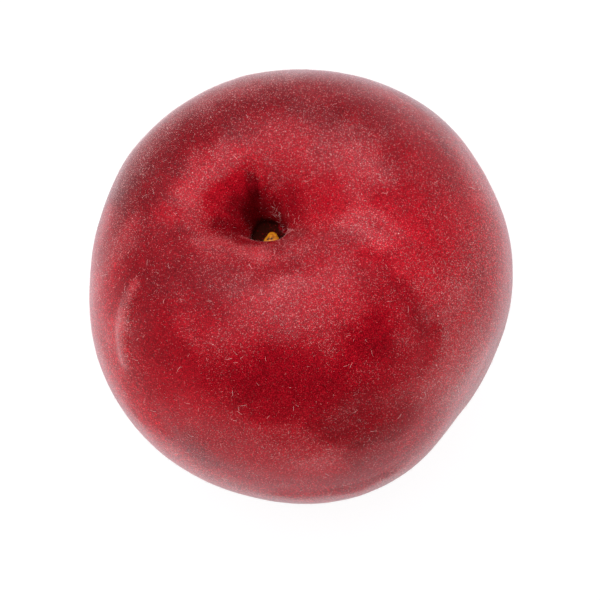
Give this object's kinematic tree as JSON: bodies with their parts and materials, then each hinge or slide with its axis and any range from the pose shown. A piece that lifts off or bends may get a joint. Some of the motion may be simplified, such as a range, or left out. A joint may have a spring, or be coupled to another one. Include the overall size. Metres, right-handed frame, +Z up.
{
  "type": "pluot",
  "caption": "Whole round pluot, deep stem cavity holding the stalk's end, shallow suture, velvety skin, small flat spot to rest on.",
  "frame": {"origin": "on the surface that the fruit rests on, under the middle of the fruit's box", "axes": "+Z up, out of the surface; the stem cavity faces up and leans towards -X; the suture runs down the +X side"},
  "size_m": [0.0626, 0.0634, 0.0588],
  "materials": {
    "skin": "dark crimson skin under short pale hairs, velvety and half matt",
    "stalk": "corky amber break with dark dots, satin"
  },
  "bodies": {
    "root": {"fruit": "skin", "stalk_end": "stalk"}
  },
  "joints": []
}
